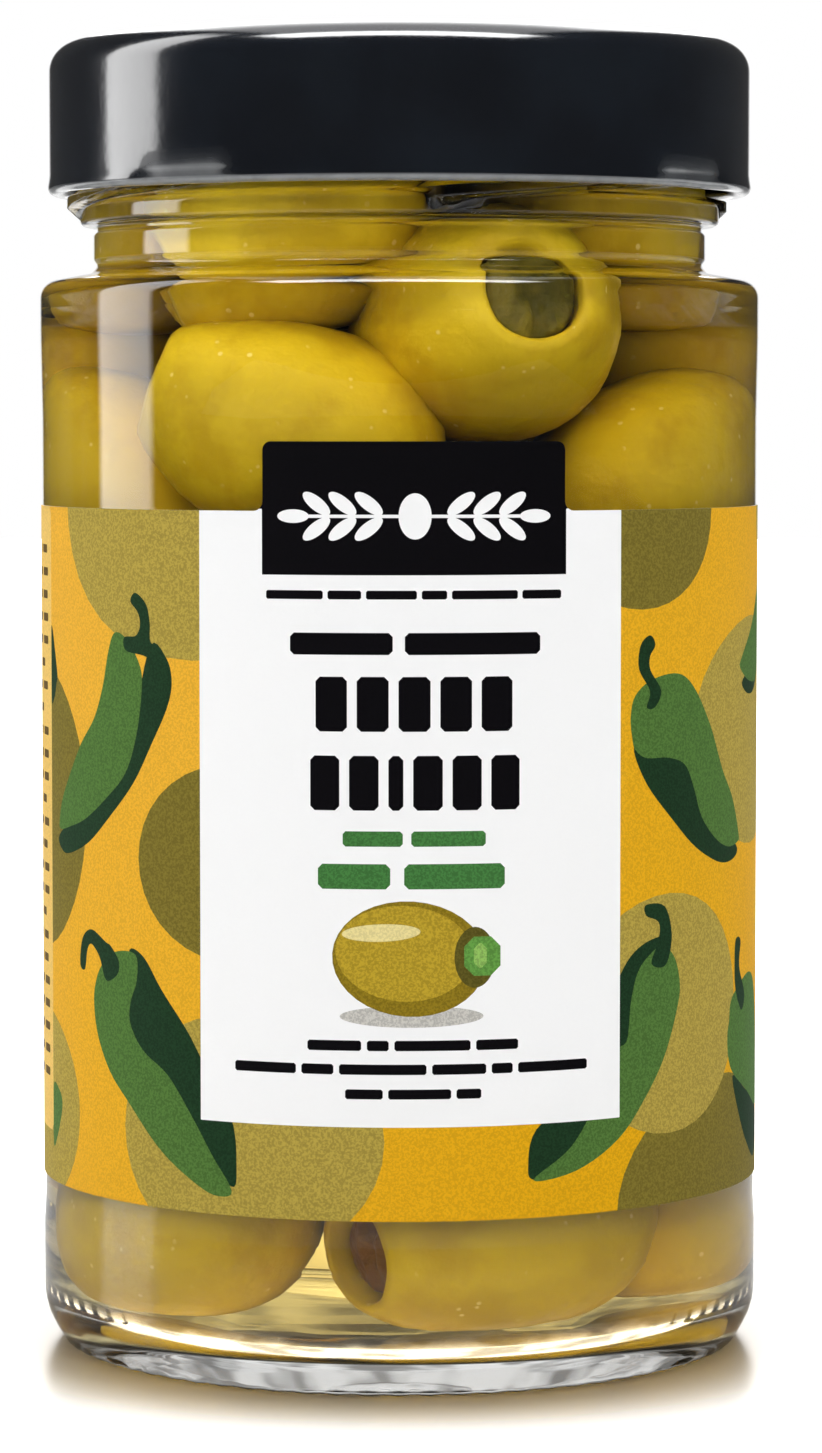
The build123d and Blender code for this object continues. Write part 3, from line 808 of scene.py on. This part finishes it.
# Rows of plain blocks down the front panel, with a stuffed olive and its shadow among them.
words(BLACK, -12.3, 73.75, 15.3, 74.55, (7, 4, 6, 3, 8, 5))
words(BLACK, -10.0, 68.7, 13.2, 70.7, (6, 8))
words(BLACK, -7.6, 61.7, 10.5, 66.7, (4, 4, 4, 4, 4), 0.18, 0.08)
words(BLACK, -8.1, 54.5, 11.2, 59.5, (4, 4, 2, 4, 4, 4), 0.18, 0.08)
words(GREEN, -5.1, 51.2, 8.0, 52.6, (4, 5))
words(GREEN, -7.4, 47.3, 9.8, 49.6, (5, 7))
for ink, outline in (
    ((196, 193, 186), oval(1.2, 35.6, 6.6, 1.0)), ((138, 116, 26), oval(1.0, 40.9, 7.1, 5.3, -4)),
    ((180, 152, 42), oval(0.5, 41.4, 6.3, 4.4, -4)), ((232, 216, 150), oval(-1.6, 43.3, 3.6, 0.8, 2)),
    ((92, 84, 30), oval(7.0, 41.0, 1.9, 2.8)), ((96, 150, 66), bar(6.0, 39.3, 9.4, 42.9, 0.9)),
    ((140, 184, 92), bar(6.9, 40.0, 8.1, 42.3, 0.5)),
):
    inked(ink, outline)
words(BLACK, -8.4, 32.45, 11.1, 33.4, (5, 2, 7, 4))
words(BLACK, -15.5, 30.25, 18.1, 31.2, (6, 3, 8, 5, 2, 7))
words(BLACK, -4.9, 28.0, 7.6, 28.9, (3, 5, 2))

TAB_FOOT, TAB_HEAD = 0.9, 0.8   # the tab's inside and outside corners


def paper_outline():
    """The outline of the paper, laid flat: a long strip with the tab on its top edge."""
    start = LAP - 360 * PER_DEGREE - LAP_WIDE
    quarter = [radians(15 * k) for k in range(7)]
    edge = [(start, LABEL_LOW), (LAP, LABEL_LOW), (LAP, LABEL_TOP)]
    for side, at in ((1, TAB_RIGHT), (-1, TAB_LEFT)):
        ends = [
            (at + side * TAB_FOOT * (1 - sin(a)), LABEL_TOP + TAB_FOOT * (1 - cos(a))) for a in quarter
        ] + [
            (at - side * TAB_HEAD * (1 - cos(a)), TAB_TOP - TAB_HEAD * (1 - sin(a))) for a in quarter
        ]
        edge += ends if side > 0 else ends[::-1]
    return edge + [(start, LABEL_TOP)]


def inside_of(outline, points):
    """Which points lie inside an outline."""
    x, y = points[:, 0][:, None], points[:, 1][:, None]
    a = np.array(outline)
    b = np.roll(a, -1, axis=0)
    crosses = (a[:, 1] > y) != (b[:, 1] > y)
    with np.errstate(divide="ignore", invalid="ignore"):
        at = a[:, 0] + (y - a[:, 1]) * (b[:, 0] - a[:, 0]) / (b[:, 1] - a[:, 1])
    return (np.where(crosses, x < at, False).sum(1) % 2) == 1


# The flat paper is cut into faces along the outline of every shape of the print, and along
# upright lines, so that it bends evenly round the jar.
BEND_EVERY = 1.22
paper_edge = paper_outline()
left_end, right_end = paper_edge[0][0], paper_edge[1][0]
flat, lines = [], []
for outline in [paper_edge] + [shape for ink, shape in print_shapes]:
    base = len(flat)
    flat += [Vector(p) for p in outline]
    lines += [(base + i, base + (i + 1) % len(outline)) for i in range(len(outline))]
for k in range(ceil((right_end - left_end) / BEND_EVERY)):
    u = left_end + BEND_EVERY * (k + 0.5)
    lines.append((len(flat), len(flat) + 1))
    flat += [Vector((u, LABEL_LOW - 1)), Vector((u, TAB_TOP + 2))]
cut = delaunay_2d_cdt(flat, lines, [], 0, 1e-4, False)
flat = np.array([tuple(p) for p in cut[0]])
faces = [f for f in cut[2] if len(f) == 3]
middle = np.array([flat[list(f)].mean(0) for f in faces])
keep = inside_of(paper_edge, middle)
faces = [f for f, k in zip(faces, keep) if k]
middle = middle[keep]
# The orange ground is painted lighter at the upper left and deeper towards the right and the bottom: painted
# shade, as the light falls from the upper left.
deep = (eased(middle[:, 0], -30, 30) * 0.6 + eased(-middle[:, 1], -70, -20) * 0.4)[:, None]
inks = np.array(GROUND) * (1 - deep) + np.array(GROUND_SHADED) * deep
for ink, outline in print_shapes:
    near = ((middle >= np.min(outline, 0)) & (middle <= np.max(outline, 0))).all(1)
    under_ink = np.flatnonzero(near)
    if len(under_ink):
        inks[under_ink[inside_of(outline, middle[under_ink])]] = ink
used = sorted({i for f in faces for i in f})
renumber = {old: new for new, old in enumerate(used)}
flat = flat[used]
faces = [tuple(renumber[i] for i in f) for f in faces]


def wrapped(u, z, radius):
    """A place on the flat paper, in mm, taken round the jar."""
    angle = u / PER_DEGREE * radians(1)
    return (radius * sin(angle) * MM, -radius * cos(angle) * MM, z * MM)


over_lap = PAPER_LIFT * (1 - eased(flat[:, 0], left_end + LAP_WIDE, left_end + LAP_WIDE + 2))
corners = [wrapped(u, z, LABEL_OUT_R + up) for (u, z), up in zip(flat, over_lap)]
corners += [wrapped(u, z, LABEL_IN_R + up) for (u, z), up in zip(flat, over_lap)]
back = len(flat)
sides = dict.fromkeys(side for a, b, c in faces for side in ((a, b), (b, c), (c, a)))
cut_edge = [(b, a) for a, b in sides if (b, a) not in sides]
skin = faces + [(c + back, b + back, a + back) for a, b, c in faces]
skin += [(a, b, b + back, a + back) for a, b in cut_edge]
mesh = bpy.data.meshes.new("label_print")
mesh.from_pydata(corners, [], skin)
ink_layer = mesh.attributes.new("ink", "FLOAT_COLOR", "FACE")
shades = [sunlit(*c) for c in inks] + [sunlit(*WHITE)] * (len(skin) - len(faces))
ink_layer.data.foreach_set("color", np.array(shades, dtype=np.float32).ravel())
mesh.polygons.foreach_set("use_smooth", [i < 2 * len(faces) for i in range(len(skin))])
mesh.set_sharp_from_angle(angle=radians(40))
label = bpy.data.objects.new("label_print", mesh)
bpy.context.scene.collection.objects.link(label)

label_paper, tree, shader = finish_of("label_paper", Roughness=0.6, Specular_IOR_Level=0.06)
where = node(tree, "ShaderNodeTexCoord").outputs["Object"]
ink = node(tree, "ShaderNodeAttribute", attribute_name="ink").outputs["Color"]
# The print's grain shows most in the dark greens, less in the orange and hardly in the white.
screen = mottled(tree, where, 4200.0, 0.35, 0.65, 1.0, 0.7)["Patches"]
red = node(tree, "ShaderNodeSeparateColor", {0: ink}).outputs[0]
much = times(tree, ramped(tree, red, 0.40, 0.85, 0.42, 0.18), ramped(tree, red, 0.86, 0.95, 1.0, 0.03))
dots = ramped(tree, screen, 0.0, 1.0, 0.55, 1.42)
speckle = mixed(tree, much, ink, mixed(tree, 1.0, ink, dots, "MULTIPLY"))
tree.links.new(speckle, shader.inputs["Base Color"])
raised(tree, shader, mottled(tree, where, 1800.0)["Height"], 0.12, 0.0001)
mesh.materials.append(label_paper)
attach(label, "root")
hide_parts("label")

# --- The lid --------------------------------------------------------------------
# A twist-off lid pressed from thin tinplate: near-black lacquer outside, a sunk panel with a
# button, and a rolled edge that is pinched in at four lugs, which grip the thread.
LID_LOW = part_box("lid")[0][2] / MM
LID_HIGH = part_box("lid")[1][2] / MM
LID_R = 34.2
LID_SIDE_R = LID_R - 0.15
PANEL_Z = LID_HIGH - 0.8
BUTTON_Z = PANEL_Z + 0.45
TIN = 0.25
CURL_R = 0.75
CURL_OVER_LUGS = 0.15           # the lugs reach this much lower than the rolled edge
CURL_Z = LID_LOW + CURL_OVER_LUGS + CURL_R
LUGS = 4
LUG_FIRST = 54.0
LUG_HALF = 9.0                  # half the width of a lug, in degrees
LUG_DENT = 0.5
RIM_REFLECTION_TOP = (CURL_Z + 4.0) * MM # below this, faces turned down get a painted reflection of the bright table

lid_lacquer, tree, shader = finish_of(
    "lid_lacquer", Roughness=0.16, Specular_IOR_Level=0.5, Coat_Weight=0.75, Coat_Roughness=0.06,
)
where = node(tree, "ShaderNodeTexCoord").outputs["Object"]
cloudy = mottled(tree, where, 90.0, 0.3, 0.7, 4.0)["Patches"]
colour = mixed(tree, cloudy, sunlit(17, 20, 26), sunlit(22, 27, 34))
facing = node(tree, "ShaderNodeNewGeometry").outputs["Normal"]
facing = node(tree, "ShaderNodeSeparateXYZ", {0: facing}).outputs["Z"]
height = node(tree, "ShaderNodeSeparateXYZ", {0: where}).outputs["Z"]
# Low on the skirt, where the rolled edge faces down, the lacquer is painted light grey in patches: a painted
# reflection of the bright table.
rim_reflection_patches = maths(tree, "MULTIPLY_ADD", mottled(tree, where, 500.0, 0.2, 0.7)["Patches"], 0.3, 0.7)
painted_rim_reflection = times(tree, ramped(tree, facing, -0.42, -0.06, 1.0, 0.0),
               ramped(tree, height, RIM_REFLECTION_TOP - 0.5 * MM, RIM_REFLECTION_TOP + 0.5 * MM, 1.0, 0.0), rim_reflection_patches)
colour = mixed(tree, painted_rim_reflection, colour, sunlit(128, 131, 133))
tree.links.new(colour, shader.inputs["Base Color"])
smeared = maths(tree, "MULTIPLY_ADD", mottled(tree, where, 240.0, 0.3, 0.7)["Patches"], 0.03, 0.15)
tree.links.new(smeared, shader.inputs["Roughness"])
raised(tree, shader, mottled(tree, where, 1100.0, detail=2.0)["Height"], 0.05, 0.0003)

curl = [
    Vector((LID_R - CURL_R + CURL_R * sin(a), CURL_Z - CURL_R * cos(a)))
    for a in (radians(-150 + 15 * k) for k in range(17))
]
under = rounded([
    (0, BUTTON_Z - TIN, 0), (8.9, BUTTON_Z - TIN, 0.6), (9.9, PANEL_Z - TIN, 0.6),
    (25.2, PANEL_Z - TIN, 0.6), (26.3, LID_HIGH - TIN, 0.6), (LID_SIDE_R - TIN, LID_HIGH - TIN, 2.55),
    (LID_SIDE_R - TIN, CURL_Z + 1.0, 0),
])
over = rounded([
    (LID_SIDE_R, CURL_Z + 1.1, 0), (LID_SIDE_R, LID_HIGH, 2.8), (26.5, LID_HIGH, 0.7),
    (25.4, PANEL_Z, 0.7), (9.7, PANEL_Z, 0.7), (8.7, BUTTON_Z, 0.7), (0, BUTTON_Z, 0),
], radians(8))


def tin_gap(r, z):
    """How far apart the lid's rows of points may be, finest where the lugs are pinched in."""
    return 0.5 if z < CURL_Z + 5 else 2.0


lid = turned("lid_pressed", spaced(under + curl + over, tin_gap), 360, lid_lacquer)
points, angles = corners_of(lid)
apart = 360 / LUGS
from_lug = abs((angles - LUG_FIRST + apart / 2) % apart - apart / 2)
pinch = 1 - eased(from_lug, LUG_HALF - 3, LUG_HALF + 4)
pinch *= 1 - eased(points[:, 2], CURL_Z - 0.2, CURL_Z + 1.7)
radius = np.hypot(points[:, 0], points[:, 1])
points[:, :2] *= (1 - LUG_DENT * pinch / np.maximum(radius, 1))[:, None]
put_back(lid, points)
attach(lid, "root")
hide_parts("lid")

# --- The table, the light and the camera ----------------------------------------
# A white table under a white sky, with a tall soft light at the left, one overhead and a narrow
# one in front. The lid and the brine take light away, so the olives' own light is set apart.
TABLE_GREY = (0.82, 0.82, 0.82, 1)
bpy.ops.mesh.primitive_grid_add(x_subdivisions=8, y_subdivisions=8, size=6.0, location=(0, 0, 0))
table = bpy.context.object
table.name = "table"
table_top, tree, shader = finish_of("table_top", Roughness=0.30, Specular_IOR_Level=0.4)
rays = node(tree, "ShaderNodeLightPath").outputs
where = node(tree, "ShaderNodeTexCoord").outputs["Object"]
away = node(tree, "ShaderNodeVectorMath", {0: where}, operation="LENGTH").outputs["Value"]
through_glass = rays["Is Transmission Ray"]
mirrored = times(tree, rays["Is Glossy Ray"], maths(tree, "SUBTRACT", 1.0, through_glass))

# What the table gives off: white away from the jar, patches of light under its base, and a
# ring further out that the lid's rolled edge mirrors.
dapple = node(tree, "ShaderNodeTexNoise", {"Vector": where, "Scale": 150.0, "Detail": 2.0}).outputs["Fac"]
patchy = ramped(tree, dapple, 0.42, 0.60, 0.80, 3.80)
under_base = ramped(tree, away, 0.027, 0.036, 1.0, 0.0)
glow = node(tree, "ShaderNodeMix", {0: under_base, 2: 0.14, 3: patchy}, data_type="FLOAT").outputs[0]
mirrored_ring = times(tree, ramped(tree, away, 0.27, 0.33), ramped(tree, away, 0.50, 0.70, 1.2, 0.0))
given_off = plus(
    tree, times(tree, rays["Is Camera Ray"], ramped(tree, away, 0.033, 0.055, 0.03, 0.66)),
    times(tree, through_glass, glow), times(tree, mirrored, mirrored_ring),
)
tree.links.new(given_off, shader.inputs["Emission Strength"])
tree.links.new(mixed(tree, ramped(tree, away, 0.034, 0.050), (1.0, 0.84, 0.58, 1), (1, 1, 1, 1)),
               shader.inputs["Emission Color"])

# Its colour is painted darker and warmer close to the jar, where light comes through the brine: a painted
# shadow. It is also painted dark further out where gloss mirrors it, and a dim warm grey close by where it is
# seen through the glass: painted shade.
shade = mixed(tree, ramped(tree, away, 0.034, 0.052), (0.33, 0.27, 0.18, 1), TABLE_GREY)
shade = mixed(tree, times(tree, mirrored, ramped(tree, away, 0.14, 0.30)), shade, (0.06, 0.06, 0.06, 1))
behind_glass = times(tree, through_glass, ramped(tree, away, 0.10, 0.20, 1.0, 0.0))
tree.links.new(mixed(tree, behind_glass, shade, (0.36, 0.33, 0.26, 1)), shader.inputs["Base Color"])
table.data.materials.append(table_top)

world = bpy.data.worlds.new("studio")
bpy.context.scene.world = world
world.use_nodes = True
tree = world.node_tree
direction = node(tree, "ShaderNodeTexCoord").outputs["Generated"]
way = node(tree, "ShaderNodeSeparateXYZ", {0: direction}).outputs
round_angle = maths(tree, "ARCTAN2", way["X"], times(tree, way["Y"], -1.0))
above = maths(tree, "MAXIMUM", way["Z"], 0.05)
lean_x = maths(tree, "DIVIDE", way["X"], above)
lean_y = maths(tree, "DIVIDE", way["Y"], above)


def between(value, low, high, soft_low, soft_high):
    """1 between two values and 0 outside them, with edges of their own softness."""
    return times(tree, ramped(tree, value, low - soft_low, low + soft_low),
                 ramped(tree, value, high - soft_high, high + soft_high, 1.0, 0.0))


# The lights as gloss mirrors them.
tall_box = times(
    tree, between(round_angle, radians(-110.0), radians(-85.0), radians(2.0), radians(2.0)),
    between(way["Z"], -0.12, 0.80, 0.03, 0.06),
)
top_box = times(tree, between(lean_x, -0.525, 0.525, 0.075, 0.075), between(lean_y, -0.35, 5.25, 0.10, 0.75))
front_strip = times(tree, between(lean_x, -0.70, 0.70, 0.10, 0.10), between(lean_y, -0.74, -0.33, 0.06, 0.05))
gloss = plus(
    tree, ramped(tree, ramped(tree, way["Y"], -0.1, 0.8), 0.0, 1.0, 0.035, 0.05),
    times(tree, tall_box, 5.5), times(tree, top_box, ramped(tree, lean_y, 0.2, 0.9, 2.0, 5.4)),
    times(tree, ramped(tree, way["Y"], 0.965, 0.985), 0.8), times(tree, front_strip, 17.0),
)

# The light on plain surfaces, on the olives, and what shows through clear glass.
soft = plus(tree, ramped(tree, way["Z"], -0.2, 1.0, 0.76, 1.06), times(tree, tall_box, 0.7),
            times(tree, top_box, 0.35))
towards_key = node(tree, "ShaderNodeVectorMath", {0: direction, 1: (-0.16, -0.67, 0.72)},
                   operation="DOT_PRODUCT").outputs["Value"]
inside_light = plus(tree, ramped(tree, towards_key, 0.0, 0.95, 0.12, 5.9), tall_box)
flags = node(tree, "ShaderNodeTexNoise", {"Vector": direction, "Scale": 8.5, "Detail": 2.0}).outputs["Fac"]
seen_through = times(tree, ramped(tree, way["Y"], 0.1, 0.9, 0.30, 1.3),
                     ramped(tree, flags, 0.38, 0.60, 0.20, 0.62))
rays = node(tree, "ShaderNodeLightPath").outputs


def chosen(ray, otherwise, value):
    """One value for a kind of ray and another for the rest."""
    return node(tree, "ShaderNodeMix", {0: ray, 2: otherwise, 3: value}, data_type="FLOAT").outputs[0]


strength = chosen(rays["Is Glossy Ray"], soft, gloss)
after_olive = maths(tree, "MINIMUM", rays["Diffuse Depth"], 1.0)
strength = chosen(rays["Is Transmission Ray"], strength, chosen(after_olive, seen_through, inside_light))
strength = chosen(rays["Is Camera Ray"], strength, 1.0)
tree.links.new(strength, tree.nodes["Background"].inputs["Strength"])
tree.nodes["Background"].inputs["Color"].default_value = (1, 1, 1, 1)
world.cycles.sampling_method = "NONE"

camera = bpy.data.cameras.new("camera")
camera.sensor_fit = "VERTICAL"
camera.sensor_height = 36.0
camera.lens = 119.73
camera_at = bpy.data.objects.new("camera", camera)
camera_at.location = (0.001131, -0.47385, 0.09069)
camera_at.rotation_euler = (radians(90 - 3.715), 0, 0)
bpy.context.scene.collection.objects.link(camera_at)
bpy.context.scene.camera = camera_at

scene = bpy.context.scene
scene.view_settings.view_transform = "Standard"
scene.cycles.max_bounces = 15   # a ray crosses the glass and the brine many times
scene.cycles.transmission_bounces = 15
scene.cycles.glossy_bounces = 6
